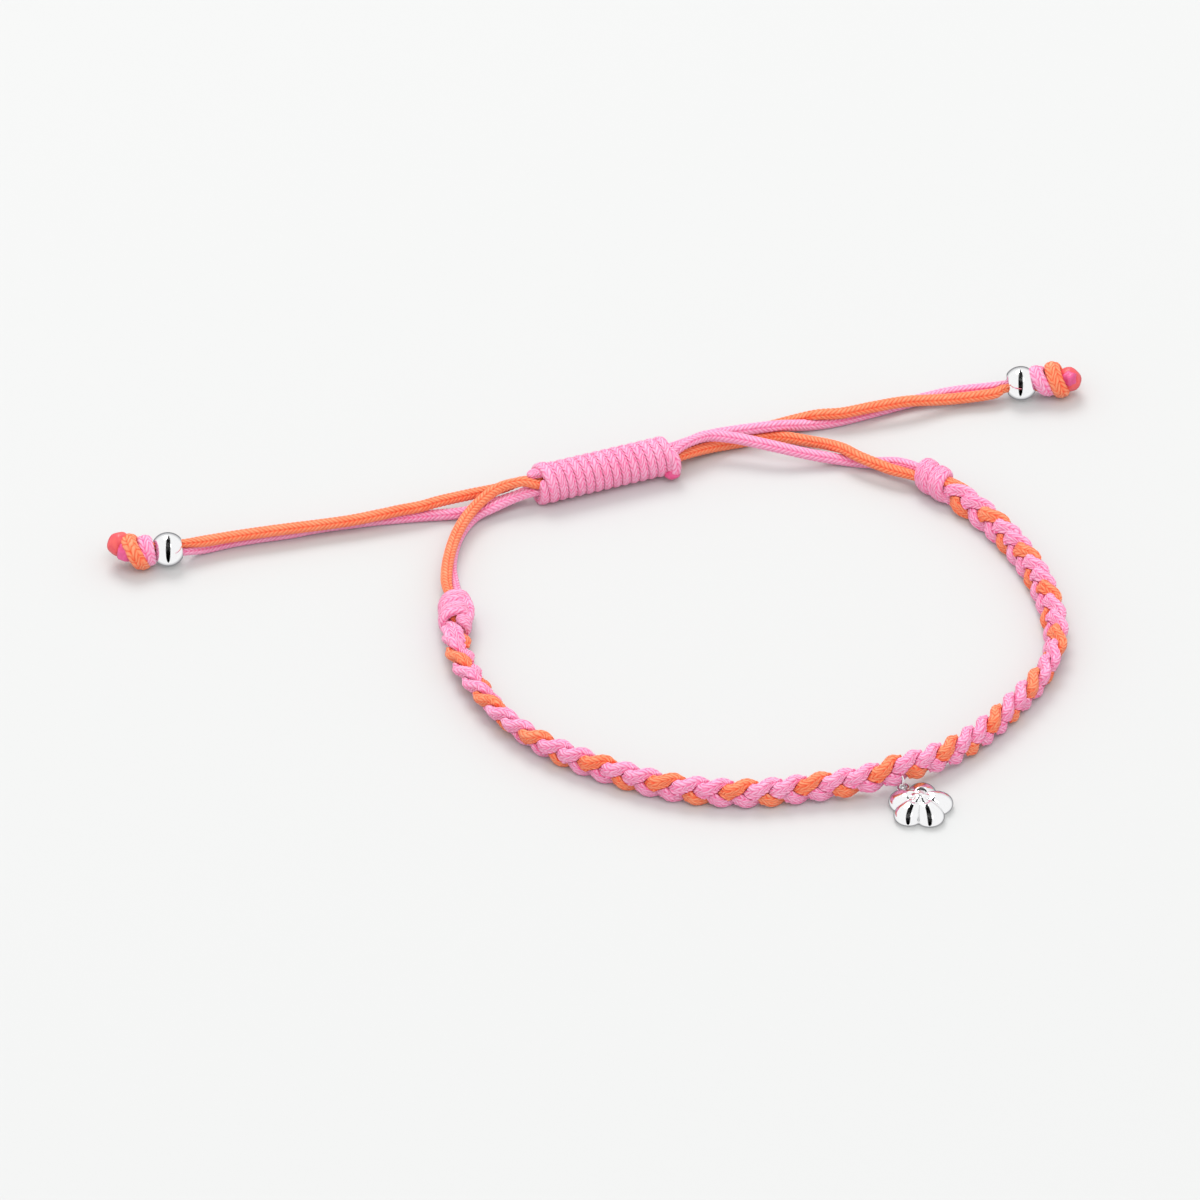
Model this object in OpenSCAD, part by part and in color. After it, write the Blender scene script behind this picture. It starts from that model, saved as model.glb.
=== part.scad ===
// Plaited cord bracelet with a sliding knot, lying on a surface.
// Millimetres, +Z up, the middle of the loop near the origin, the surface at z = 0.

/* [Cord] */
// Diameter of the nylon cord
cord_d = 0.95; // [0.85:0.05:0.95]
// Diameter of the cord where a bead or knot squeezes it
squeezed_d = 0.74; // [0.7:0.02:0.74]

/* [Plait] */
// Swing of a strand across the band, each way
swing = 0.87; // [0.85:0.01:0.9]
// Swing of a strand through the band, each way
weave = 0.57; // [0.56:0.01:0.6]
// Width of a strand, flattened in the plait
strand_w = 0.92; // [0.8:0.02:0.92]
// Thickness of a strand, flattened in the plait
strand_t = 0.6; // [0.5:0.02:0.6]

/* [Knots] */
// Outer diameter of the knots at the ends of the plait
plait_knot_d = 3.0; // [2.8:0.1:3.2]
// Length of the knots at the ends of the plait
plait_knot_l = 3.2; // [3:0.1:3.4]
// Outer diameter of the sliding knot
sliding_knot_d = 3.4; // [3.3:0.05:3.5]
// Turns of cord in the sliding knot
sliding_knot_turns = 11; // [9:0.5:11]
// Diameter of the larger turn of a knot at a free end
end_knot_d = 3.2; // [3:0.1:3.3]

/* [Metal] */
// Diameter of the beads
bead_d = 3.0; // [2.9:0.1:3.2]
// Diameter of the bore of the beads
bead_bore = 1.7; // [1.65:0.05:1.8]
// Wire of the jump ring and of the eye on the charm
wire_d = 0.26; // [0.22:0.02:0.26]
// Width of the flower charm
charm_w = 5.8; // [5.4:0.1:6]
// Petals of the flower charm
petals = 5; // [5:1:6]

/* [Hidden] */

pink = "hotpink";
orange = "darkorange";
metal = "silver";

cord_r = cord_d / 2;
tight_r = squeezed_d / 2;
core_r = 0.33;

// Middle of the plait from the right knot, round the front, to the left knot
spine_route = [
    [14.5, 21.6, 1.5], [17.1, 18.9, 1.45], [20.1, 15.7, 1.35], [22.9, 11.4, 1.35],
    [25.1, 6.3, 1.35], [26.3, 1.3, 1.35], [26.5, -3.1, 1.35], [25.4, -7.1, 1.35],
    [23.3, -10.8, 1.35], [20.4, -15.0, 1.35], [16.4, -19.1, 1.35], [11.4, -22.1, 1.35],
    [5.5, -23.2, 1.35], [-0.6, -24.0, 1.35], [-6.8, -23.2, 1.35], [-12.7, -20.7, 1.35],
    [-17.8, -17.4, 1.35], [-21.5, -13.4, 1.35], [-24.0, -8.8, 1.35], [-25.5, -4.5, 1.35],
    [-25.9, -0.5, 1.4], [-26.1, 3.6, 1.5]
];

// Turns the strands have made, by distance along the plait: [distance, turns]
turn_table = [
    [0, -0.5], [3.6, 0], [10.6, 1], [22, 3], [35, 5], [47, 7],
    [60, 9], [73, 11], [86, 13], [99.5, 15], [110, 16.6]
];

// Lean of the band, by distance along the plait: [distance, angle of its width from level]
lean_table = [
    [0, 62], [10, 70], [17, 68], [24, 62], [29, 66], [34, 84], [42, 93], [52, 98],
    [62, 93], [72, 87], [80, 82], [86, 68], [92, 52], [98, 38], [110, 26]
];

// Stretch of the plait between its knots
plait_start = 2.8;
plait_end = 104.9;
// Length of a strand inside its knot, and length over which it widens outside the knot
held_l = 0.7;
narrowing = 2;
// Shares of its swing, weave, width and thickness that a strand keeps inside its knot
held_swing = 0.6;
held_weave = 0.8;
held_w = 0.52;
held_t = 0.74;
// Length between the rings of a strand
strand_step = 0.64;
// Radius of the hole of a knot of the plait, and the core between its two wraps
hole_r = 0.9;
knot_core_l = 1.2;
knot_core_r = 1.3;

// Place of the jump ring along the plait, and how far the plait rises and parts there
ring_s = 52.06;
ring_rise = 0.65;
rise_reach = 5;
ring_part = 0.2;
part_reach = 1.1;

// Ends of the axis of the sliding knot
slide_left = [-18.8, 19.1, 1.75];
slide_right = [-7.3, 23.5, 1.75];

// Beads: [centre, heading of the free end through the bead]
left_bead_at = [-51.1, 10.3, 1.5];
left_heading = 190;
right_bead_at = [23.8, 34.1, 1.5];
right_heading = 6;

// Knots at the ends of the plait: [centre, heading along the plait]
right_knot_at = [15.95, 20.15, 1.5];
right_knot_heading = -44;
left_knot_at = [-25.95, 1.4, 1.5];
left_knot_heading = 91;

// Cords of the loop, from the knot of the plait to the sliding knot: [x, y, z, radius]
orange_left_route = [
    [-26.35, 2.2, 1.55, 0.38], [-26.4, 3.6, 1.6, 0.44], [-26.7, 5.7, 1.55, 0.475],
    [-26.5, 9.1, 1.52, 0.475], [-25.7, 12.9, 1.5, 0.475], [-24.3, 16.0, 1.66, 0.475],
    [-22.3, 18.1, 2.1, 0.475], [-20.2, 18.55, 2.55, 0.36]
];
pink_left_route = [
    [-25.55, 2.2, 1.45, 0.38], [-25.6, 3.6, 1.2, 0.44], [-25.95, 5.7, 0.75, 0.475],
    [-26.3, 9.2, 0.52, 0.475], [-25.8, 12.9, 0.52, 0.475], [-24.45, 15.9, 0.56, 0.475],
    [-22.5, 17.0, 1.05, 0.475], [-20.3, 18.1, 1.35, 0.36]
];
orange_right_route = [
    [15.18, 20.33, 1.42, 0.38], [14.0, 21.1, 1.4, 0.43], [12.1, 21.85, 1.5, 0.475],
    [9.6, 23.3, 1.62, 0.475], [7.9, 24.8, 1.5, 0.475], [5.4, 26.6, 0.8, 0.475],
    [2.1, 27.65, 0.52, 0.475], [-1.2, 26.8, 0.52, 0.475], [-3.8, 25.55, 0.9, 0.475],
    [-5.65, 24.2, 1.25, 0.36]
];
pink_right_route = [
    [15.7, 20.93, 1.58, 0.38], [14.65, 21.8, 1.6, 0.43], [12.9, 22.9, 1.3, 0.475],
    [10.8, 23.8, 0.6, 0.475], [8.7, 24.2, 0.52, 0.475], [5.4, 24.3, 1.1, 0.475],
    [2.1, 24.6, 1.8, 0.475], [-1.3, 25.4, 2.1, 0.475], [-3.8, 25.6, 2.2, 0.475],
    [-5.65, 24.3, 2.4, 0.36]
];

// Free ends, from the sliding knot to the bead: [x, y, z, radius]
tail_orange_left_route = [
    [-20.3, 19.85, 1.58, 0.36], [-22.0, 19.2, 1.35, 0.475], [-24.6, 18.4, 1.3, 0.475],
    [-27.3, 17.2, 1.48, 0.475], [-29.0, 16.4, 1.5, 0.475], [-30.8, 15.85, 1.5, 0.475],
    [-32.5, 15.35, 1.42, 0.475], [-35.1, 14.6, 1.35, 0.475], [-37.8, 14.0, 1.33, 0.475],
    [-40.4, 13.35, 1.43, 0.475], [-43.0, 12.75, 1.46, 0.475], [-45.6, 12.1, 1.48, 0.475],
    [-48.0, 11.3, 1.6, 0.475]
];
tail_pink_left_route = [
    [-20.4, 18.95, 0.86, 0.36], [-22.4, 18.2, 0.52, 0.475], [-25.2, 16.8, 0.52, 0.475],
    [-29.0, 16.3, 0.52, 0.475], [-32.5, 15.8, 0.52, 0.475], [-35.1, 15.3, 0.52, 0.475],
    [-37.8, 14.7, 0.52, 0.475], [-40.4, 13.9, 0.52, 0.475], [-43.0, 13.3, 0.52, 0.475],
    [-45.6, 12.6, 0.52, 0.475], [-47.9, 11.7, 0.55, 0.475]
];
tail_orange_right_route = [
    [-5.75, 25.6, 0.55, 0.36], [-3.8, 26.8, 0.52, 0.475], [-1.2, 27.9, 0.52, 0.475],
    [2.1, 29.3, 0.52, 0.475], [4.2, 30.0, 0.75, 0.45], [6.0, 30.0, 1.25, 0.44],
    [8.1, 29.9, 1.52, 0.475], [10.8, 30.55, 1.6, 0.475], [13.8, 31.35, 1.6, 0.475],
    [17.6, 32.4, 1.4, 0.475], [21.3, 33.0, 1.45, 0.43]
];
tail_pink_right_route = [
    [-5.75, 25.6, 1.45, 0.36], [-3.8, 26.5, 1.5, 0.475], [-1.2, 27.25, 1.5, 0.475],
    [2.1, 28.1, 1.35, 0.475], [4.2, 28.85, 0.75, 0.45], [6.0, 29.3, 0.52, 0.44],
    [8.1, 30.0, 0.52, 0.475], [11.2, 31.4, 0.52, 0.475], [14.4, 32.8, 0.52, 0.475],
    [17.6, 33.5, 0.7, 0.475], [21.2, 33.85, 1.05, 0.43]
];

// Vectors

function unit(v) = v / norm(v);

function heading(angle) = [cos(angle), sin(angle), 0];

// Smooth curve through the points of a route, with the given steps between neighbours

function blend(a, b, c, d, t) =
    0.5 * (2 * b + (c - a) * t + (2 * a - 5 * b + 4 * c - d) * t * t + (3 * b - a - 3 * c + d) * t * t * t);

function curve(route, steps) =
    let (last = len(route) - 1)
    concat(
        [
            for (i = [0 : last - 1], j = [0 : steps - 1])
                blend(
                    i == 0 ? 2 * route[0] - route[1] : route[i - 1],
                    route[i],
                    route[i + 1],
                    i + 1 == last ? 2 * route[last] - route[last - 1] : route[i + 2],
                    j / steps
                )
        ],
        [route[last]]
    );

// Distance along a path up to each of its points

function distances(path) =
    [
        for (
            i = 0, s = 0;
            i < len(path);
            s = s + (i + 1 < len(path) ? norm(path[i + 1] - path[i]) : 0), i = i + 1
        ) s
    ];

// Skin of a row of rings, closed at both ends

module skin(rings) {
    sides = len(rings[0]);
    last = len(rings) - 1;
    polyhedron(
        points = [for (ring = rings, p = ring) p],
        faces = concat(
            [[for (j = [0 : sides - 1]) j]],
            [
                for (i = [0 : last - 1], j = [0 : sides - 1])
                    each let (
                        a = i * sides + j,
                        b = i * sides + (j + 1) % sides
                    ) [[a, b + sides, b], [a, a + sides, b + sides]]
            ],
            [[for (j = [sides - 1 : -1 : 0]) last * sides + j]]
        )
    );
}

// Oval ring of points about a centre, square to the direction of travel

function oval(centre, travel, width_way, half_w, half_t, sides) =
    let (
        across = unit(width_way - (width_way * travel) * travel),
        through = cross(travel, across)
    )
    [
        for (j = [0 : sides - 1])
            centre + half_w * cos(360 * j / sides) * across + half_t * sin(360 * j / sides) * through
    ];

// Direction of travel at a point of a path

function travel_at(path, i) =
    unit(path[min(i + 1, len(path) - 1)] - path[max(i - 1, 0)]);

// Round cord along a path of [x, y, z, radius]

module cord(path, sides = 8) {
    middle = [for (p = path) [p[0], p[1], p[2]]];
    skin([
        for (i = [0 : len(path) - 1])
            oval(middle[i], travel_at(middle, i), [0, 0, 1], path[i][3], path[i][3], sides)
    ]);
}

// Plait

spine = curve(spine_route, 6);
spine_s = distances(spine);
spine_x = [for (i = [0 : len(spine) - 1]) [spine_s[i], spine[i][0]]];
spine_y = [for (i = [0 : len(spine) - 1]) [spine_s[i], spine[i][1]]];
spine_z = [for (i = [0 : len(spine) - 1]) [spine_s[i], spine[i][2]]];

function bump(s, reach) = exp(-pow((s - ring_s) / reach, 2));

function spine_at(s) =
    [lookup(s, spine_x), lookup(s, spine_y), lookup(s, spine_z) + ring_rise * bump(s, rise_reach)];

function spine_travel(s) = unit(spine_at(s + 0.4) - spine_at(s - 0.4));

// Direction of the band's width, and the direction through the band
function band_width_way(s) =
    let (out = unit(cross([0, 0, 1], spine_travel(s))), lean = lookup(s, lean_table))
    cos(lean) * out + sin(lean) * [0, 0, 1];

function band_through_way(s) =
    let (out = unit(cross([0, 0, 1], spine_travel(s))), lean = lookup(s, lean_table))
    -sin(lean) * out + cos(lean) * [0, 0, 1];

// Share of full size that a strand has at a place, less inside the knots
function fullness(s) =
    let (t = max(0, min(1, (s - plait_start - held_l) / narrowing, (plait_end - held_l - s) / narrowing)))
    t * t * (3 - 2 * t);

function eased(kept, full) = kept + (1 - kept) * full;

function strand_angle(s, lead) = 360 * (lookup(s, turn_table) + lead) + 110;

// The strand that the ring holds stays low, the others part upwards
function parting(s, held) = held ? 0 : ring_part * bump(s, part_reach);

function strand_centre(s, lead, held) =
    let (a = strand_angle(s, lead), full = fullness(s))
    spine_at(s)
    + (swing * eased(held_swing, full) * sin(a) + parting(s, held)) * band_width_way(s)
    + weave * eased(held_weave, full) * sin(2 * a) * band_through_way(s);

module strand(lead, held) {
    rings = round((plait_end - plait_start) / strand_step);
    step = (plait_end - plait_start) / rings;
    skin([
        for (i = [0 : rings])
            let (
                s = plait_start + i * step,
                ahead = strand_centre(s + 0.1, lead, held),
                behind = strand_centre(s - 0.1, lead, held),
                full = fullness(s)
            )
            oval(
                strand_centre(s, lead, held),
                unit(ahead - behind),
                band_width_way(s),
                strand_w / 2 * eased(held_w, full),
                strand_t / 2 * eased(held_t, full),
                8
            )
    ]);
}

module braid_strand_pink_1() { color(pink) strand(1 / 3, false); }
module braid_strand_pink_2() { color(pink) strand(2 / 3, true); }
module braid_strand_orange() { color(orange) strand(0, false); }

// Puts a shape that runs along +Z on a heading

module along(at, angle) {
    translate(at) rotate([0, 0, angle]) rotate([0, 90, 0]) children();
}

// One turn of flattened cord about an axis

module wrap(outer_d, wall, length) {
    rotate_extrude($fn = 40)
        polygon([
            for (j = [0 : 13])
                [outer_d / 2 - wall / 2 + wall / 2 * cos(360 * j / 14), length / 2 * sin(360 * j / 14)]
        ]);
}

// Knot at an end of the plait: two wraps on a short core

module plait_knot(at, angle) {
    wall = plait_knot_d / 2 - hole_r;
    along(at, angle) {
        cylinder(h = knot_core_l, r = knot_core_r, center = true, $fn = 40);
        for (side = [-1, 1])
            translate([0, 0, side * plait_knot_l / 4]) wrap(plait_knot_d, wall, plait_knot_l / 2 + 0.1);
    }
}

module right_braid_knot() {
    color(pink) plait_knot(right_knot_at, right_knot_heading);
}

// The left one has a lobe of cord on its inner side
lobe_at = [1.15, -0.3, 0];
lobe_r = 0.85;

module left_braid_knot() {
    color(pink) union() {
        plait_knot(left_knot_at, left_knot_heading);
        translate(left_knot_at + lobe_at) sphere(r = lobe_r, $fn = 32);
    }
}

// Sliding knot: a coil of flattened cord, and the melted end of its cord

slide_axis = unit(slide_right - slide_left);
slide_back = cross([0, 0, 1], slide_axis);
slide_l = norm(slide_right - slide_left);
coil_wall = 0.72;
coil_r = sliding_knot_d / 2 - coil_wall / 2;
turn_l = 0.94;
steps_per_turn = 14;
melted_r = 0.58;

function coil_out(angle) = cos(angle) * slide_back + sin(angle) * [0, 0, 1];

function coil_at(i) =
    let (share = i / (steps_per_turn * sliding_knot_turns))
    slide_left + slide_axis * (turn_l / 2 + share * (slide_l - turn_l))
    + coil_r * coil_out(360 * i / steps_per_turn - 90);

module sliding_knot() {
    color(pink) {
        skin([
            for (i = [0 : steps_per_turn * sliding_knot_turns])
                oval(
                    coil_at(i),
                    unit(coil_at(i + 1) - coil_at(i - 1)),
                    slide_axis,
                    turn_l / 2,
                    coil_wall / 2,
                    8
                )
        ]);
        translate(slide_right + 0.25 * slide_axis + 1.55 * coil_out(-135)) sphere(r = melted_r, $fn = 32);
    }
}

// The four cords inside the sliding knot turn half round each other

core_offset = 0.5;

function core_point(share, angle) =
    let (p = slide_left + slide_axis * slide_l * share + core_offset * coil_out(angle + 180 * share))
    [p[0], p[1], p[2], core_r];

function core_path(angle) = [for (k = [0 : 6]) core_point(k / 6, angle)];

function backwards(path) = [for (i = [len(path) - 1 : -1 : 0]) path[i]];

// A cord of the loop: its route, then its way through the sliding knot
module loop_cord(route, inside) {
    cord(concat(curve(concat(route, [inside[0]]), 3), [for (i = [1 : len(inside) - 1]) inside[i]]));
}

module loop_cord_orange_left() {
    color(orange) loop_cord(orange_left_route, core_path(135));
}

module loop_cord_pink_left() {
    color(pink) loop_cord(pink_left_route, core_path(225));
}

module loop_cord_orange_right() {
    color(orange) loop_cord(orange_right_route, backwards(core_path(45)));
}

module loop_cord_pink_right() {
    color(pink) loop_cord(pink_right_route, backwards(core_path(315)));
}

// Free ends: from the face of the sliding knot, through the bead, to the knot behind it.
// beside is the place of the cord in the bore, measured from the axis of the bead.

function threaded(bead_at, angle, beside) =
    [
        for (x = [-bead_d / 2, 0, bead_d / 2])
            let (p = bead_at + x * heading(angle) + beside)
            [p[0], p[1], p[2], tight_r]
    ];

// Gap between a free end and the cord of the loop that ends in the same face
face_gap = 0.26;

function leaving(point, out) = point + face_gap * [out[0], out[1], out[2], 0];

module tail(start, route, bead_at, angle, beside) {
    cord(curve(concat([start], route, threaded(bead_at, angle, beside)), 2));
}

module tail_cord_orange_left() {
    start = leaving(core_point(0, 45), -slide_axis);
    color(orange) tail(start, tail_orange_left_route, left_bead_at, left_heading, [0, -0.2, 0.33]);
}

module tail_cord_pink_left() {
    start = leaving(core_point(0, 315), -slide_axis);
    color(pink) tail(start, tail_pink_left_route, left_bead_at, left_heading, [0, 0.2, -0.33]);
}

module tail_cord_orange_right() {
    start = leaving(core_point(1, 135), slide_axis);
    color(orange) tail(start, tail_orange_right_route, right_bead_at, right_heading, [0, -0.42, 0]);
}

module tail_cord_pink_right() {
    start = leaving(core_point(1, 225), slide_axis);
    color(pink) tail(start, tail_pink_right_route, right_bead_at, right_heading, [0, 0.28, -0.3]);
}

// Drilled beads

module bead(at, angle) {
    along(at, angle) difference() {
        sphere(d = bead_d, $fn = 64);
        cylinder(h = bead_d + 1, d = bead_bore, center = true, $fn = 48);
    }
}

module left_bead() { color(metal) bead(left_bead_at, left_heading); }
module right_bead() { color(metal) bead(right_bead_at, right_heading); }

// Knot behind a bead: a core, two wraps and a fused tip

module end_knot(at, angle) {
    color("coral")
        translate([0, 0, end_knot_d / 2 - bead_d / 2])
            along(at + (bead_d / 2 + 0.08) * heading(angle), angle) {
                cylinder(h = 3, r = 0.9, $fn = 40);
                translate([0, 0, 0.6]) wrap(end_knot_d - 0.1, 0.9, 1.1);
                translate([0, 0, 1.8]) wrap(end_knot_d, 0.95, 1.3);
                translate([0, 0, 3.3]) sphere(r = 1.1, $fn = 32);
            }
}

module left_end_knot() { end_knot(left_bead_at, left_heading); }
module right_end_knot() { end_knot(right_bead_at, right_heading); }

// Jump ring through the plait, round its lowest strand, and the charm on the ring

ring_travel = spine_travel(ring_s);
ring_out = unit(cross([0, 0, 1], ring_travel));
ring_r = 0.84;
ring_at = [spine_at(ring_s)[0], spine_at(ring_s)[1], ring_r + wire_d / 2] + 0.02 * ring_out;
eye_r = 0.45;
eye_drop = 30;
eye_at = ring_at + (ring_r * cos(eye_drop) + 0.03) * ring_out - [0, 0, ring_r * sin(eye_drop)];
charm_heading = -59;
charm_reach = 2.9;
stem_d = 0.4;
stem_l = 1.2;
stem_overlap = 0.05;
charm_at = eye_at + charm_reach * heading(charm_heading) - [0, 0, eye_at[2]];

module jump_ring() {
    color(metal)
        translate(ring_at)
            rotate([0, 0, atan2(ring_out[1], ring_out[0])])
                rotate([90, 0, 0])
                    rotate_extrude($fn = 48) translate([ring_r, 0]) circle(d = wire_d, $fn = 16);
}

// Outline of the flower: a circle of the given radius for each petal, round the middle
petal_r = charm_w * 0.22;
petal_at = charm_w / 2 - petal_r;
flower_sides = 60;
flower_edge_z = 0.45;
flower_h = 1.7;
crease = 0.3;

// Angle from the middle of the nearest petal
function petal_angle(a) = let (pitch = 360 / petals) a - pitch * round(a / pitch);

function flower_radius(a) =
    let (p = petal_angle(a))
    petal_at * cos(p) + sqrt(pow(petal_r, 2) - pow(petal_at * sin(p), 2));

// Ring of the flower at a share of its outline, with creases between the petals
function flower_ring(share, z) =
    [
        for (j = [0 : flower_sides - 1])
            let (
                a = 360 * j / flower_sides,
                valley = pow(petal_angle(a) * petals / 180, 2),
                low = max(0, z - flower_edge_z) * crease * valley * max(0, share - 0.3)
            )
            [share * flower_radius(a) * cos(a), share * flower_radius(a) * sin(a), z - low]
    ];

module flower() {
    skin(concat(
        [flower_ring(0.84, 0), flower_ring(0.96, 0.12)],
        [
            for (rise = [0, 20, 36, 50, 62, 73])
                flower_ring(cos(rise), flower_edge_z + (flower_h - flower_edge_z) * sin(rise))
        ]
    ));
}

module charm() {
    color(metal) {
        translate(charm_at) rotate([0, 0, charm_heading + 180 + 180 / petals]) flower();
        translate(eye_at) rotate_extrude($fn = 40) translate([eye_r, 0]) circle(d = wire_d, $fn = 16);
        translate(eye_at + (eye_r - stem_overlap) * heading(charm_heading))
            rotate([0, 90, charm_heading]) cylinder(d = stem_d, h = stem_l, $fn = 24);
    }
}

braid_strand_pink_1();
braid_strand_pink_2();
braid_strand_orange();
right_braid_knot();
left_braid_knot();
sliding_knot();
loop_cord_orange_left();
loop_cord_pink_left();
loop_cord_orange_right();
loop_cord_pink_right();
tail_cord_orange_left();
tail_cord_pink_left();
tail_cord_orange_right();
tail_cord_pink_right();
left_bead();
right_bead();
left_end_knot();
right_end_knot();
jump_ring();
charm();
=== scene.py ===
"""Plaited two-colour cord bracelet: looks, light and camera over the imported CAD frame.

Lengths are in millimetres, but Blender gets metres. Angles are in degrees, but in radians once
math.radians or np.radians has been round them.
"""
import math
from functools import partial

import bpy
import numpy as np
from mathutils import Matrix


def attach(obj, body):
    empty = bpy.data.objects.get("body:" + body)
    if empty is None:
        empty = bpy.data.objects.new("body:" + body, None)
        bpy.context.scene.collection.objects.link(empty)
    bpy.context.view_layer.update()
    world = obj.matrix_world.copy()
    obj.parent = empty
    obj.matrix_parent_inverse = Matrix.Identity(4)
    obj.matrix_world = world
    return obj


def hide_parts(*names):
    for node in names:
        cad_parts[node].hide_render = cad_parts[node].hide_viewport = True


MM = 0.001
TAU = 2 * math.pi
UP = np.array([0.0, 0.0, 1.0])
FAR = 1e3    # farther than anything here
TINY = 1e-6

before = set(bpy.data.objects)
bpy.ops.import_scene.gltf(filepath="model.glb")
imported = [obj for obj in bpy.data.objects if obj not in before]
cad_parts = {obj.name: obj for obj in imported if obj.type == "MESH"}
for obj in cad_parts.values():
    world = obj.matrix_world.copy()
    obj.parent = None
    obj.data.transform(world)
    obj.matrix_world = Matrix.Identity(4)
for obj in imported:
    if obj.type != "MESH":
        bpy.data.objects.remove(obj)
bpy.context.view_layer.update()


# Camera, with a long lens because the photograph's picture is close to parallel

ELEVATION = math.radians(38.0)
LOOK_AT = np.array([-13.26, 5.0, 0.0])
# a longer lens puts the camera so far off that its other views cut off the floor behind the bracelet
DISTANCE = 3500.0
VIEW_WIDTH = 105.0
SENSOR = 36.0
NEAREST_SEEN, FARTHEST_SEEN = 0.05, 20.0    # metres
TO_CAMERA = np.array([0, -math.cos(ELEVATION), math.sin(ELEVATION)])


def make_camera():
    data = bpy.data.cameras.new("camera")
    data.sensor_width = SENSOR
    data.lens = SENSOR * DISTANCE / VIEW_WIDTH
    data.clip_start = NEAREST_SEEN
    data.clip_end = FARTHEST_SEEN
    camera = bpy.data.objects.new("camera", data)
    camera.location = (LOOK_AT + DISTANCE * TO_CAMERA) * MM
    camera.rotation_euler = (math.pi / 2 - ELEVATION, 0, 0)
    bpy.context.scene.collection.objects.link(camera)
    bpy.context.scene.camera = camera


make_camera()


# Curves

ROUTE_STEPS = 24


def unit(v):
    v = np.asarray(v, float)
    return v / np.maximum(np.linalg.norm(v, axis=-1, keepdims=True), 1e-12)


def heading(angle):
    a = math.radians(angle)
    return np.array([math.cos(a), math.sin(a), 0.0])


def curve(route, steps=ROUTE_STEPS):
    """Catmull-Rom curve through the rows of a route, the radius in the fourth column if there is one."""
    r = np.asarray(route, float)
    r = np.vstack([2 * r[0] - r[1], r, 2 * r[-1] - r[-2]])
    t = (np.arange(steps) / steps)[:, None]
    rows = []
    for k in range(1, len(r) - 2):
        a, b, c, d = r[k - 1], r[k], r[k + 1], r[k + 2]
        square = 2 * a - 5 * b + 4 * c - d
        cube = 3 * b - a - 3 * c + d
        rows.append(0.5 * (2 * b + (c - a) * t + square * t**2 + cube * t**3))
    return np.vstack(rows + [r[-2:-1]])


def lengths(path):
    return np.concatenate([[0], np.cumsum(np.linalg.norm(np.diff(path[:, :3], axis=0), axis=1))])


def even(path, step):
    """The same line with its points an even distance apart."""
    s = lengths(path)
    count = max(2, int(round(s[-1] / step)) + 1)
    at = np.linspace(0, s[-1], count)
    return np.column_stack([np.interp(at, s, path[:, k]) for k in range(path.shape[1])])


def travel(path):
    return unit(np.gradient(path[:, :3], axis=0))


def square_to(t, way):
    """A direction, or one for each point of a line, turned square to the line's own directions t."""
    way = np.broadcast_to(way, t.shape)
    return unit(way - np.einsum("nk,nk->n", way, t)[:, None] * t)


def carried(path, start):
    """Directions across and through a cord, carried along its path without twist."""
    t = travel(path)
    across = np.zeros_like(t)
    across[0] = unit(start - np.dot(start, t[0]) * t[0])
    for k in range(1, len(t)):
        a = across[k - 1] - np.dot(across[k - 1], t[k]) * t[k]
        across[k] = a / np.linalg.norm(a)
    return across, np.cross(t, across)


# Weave of the cord: columns of stitches round it, each drawn with a few points

COLUMNS = 6
STRAND_COLUMNS = 8
KNOT_COLUMNS = 10
PER_COLUMN = 5
PER_STITCH = 6
RING_STEP = 0.07
# how much steeper than its column a stitch lies, and how deep the grooves are, in loose and in tight cord
SLANT, RELIEF = 1.25, 0.07
TIGHT_SLANT, TIGHT_RELIEF = 1.5, 0.05
# how suddenly a stitch falls away along and across the cord, and the groove down the middle
STITCH_POWER = 2.2
SIDE_POWER, SIDE_DIP = 2.5, 0.4
MIDDLE_SLOPE, MIDDLE_DIP = 4.0, 0.5


def stitches(rings, columns, phase, slant):
    """Height, 0 to 1, of a braid whose stitches slant one way in one column and the other way in the next,
    so that they read as rows of Vs along the cord, with a groove down the middle of each row."""
    u = np.arange(columns * PER_COLUMN)[None, :] / PER_COLUMN
    v = np.arange(rings)[:, None] / PER_STITCH + phase
    column = np.floor(u + TINY)
    du = u - column - 0.5
    way = np.where(column % 2 == 0, 1, -1)
    t = v + way * slant * du
    dv = t - np.round(t)
    crest = 1 - (2 * np.abs(dv)) ** STITCH_POWER
    side = 1 - SIDE_DIP * (2 * np.abs(du)) ** SIDE_POWER
    middle = np.clip(way * du * MIDDLE_SLOPE - 1, 0, 1)
    return crest * side - MIDDLE_DIP * middle


# Room for the cord's skin: how far it reaches from the centre line along rays called ways

NEAREST = 56
AT_A_TIME = 400
LEAST = 0.05
BEND_ROOM = 0.86
FLOOR_GAP = 0.01
LOW_CENTRE = 0.1
CORD_GAP = 0.006
# how rounded a section is, from 2 for an oval up, and how sharply it turns flat at what stops it
OVAL_POWER, STRAND_POWER, COIL_POWER = 2.2, 2.5, 3.2
WALL_POWER, FLOOR_POWER, BEND_POWER = 14, 16, 12
SWELL_FADE = 1.6
# painted crevice shade: where it begins and how fast it grows as another cord comes near the skin, and its
# value on the end caps
DEEP_FROM, DEEP_SLOPE, CAP_DEEP = 1.25, 0.9, 0.2
END_LEAST = 0.0025


def nearest_points(centres, points):
    """For each centre, the points nearest to it."""
    picked = []
    for k in range(0, len(centres), AT_A_TIME):
        part = centres[k:k + AT_A_TIME]
        square = ((part[:, None, :] - points[None, :, :]) ** 2).sum(-1)
        order = np.argpartition(square, NEAREST - 1, axis=1)[:, :NEAREST]
        picked.append(points[order])
    return np.concatenate(picked)


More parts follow.
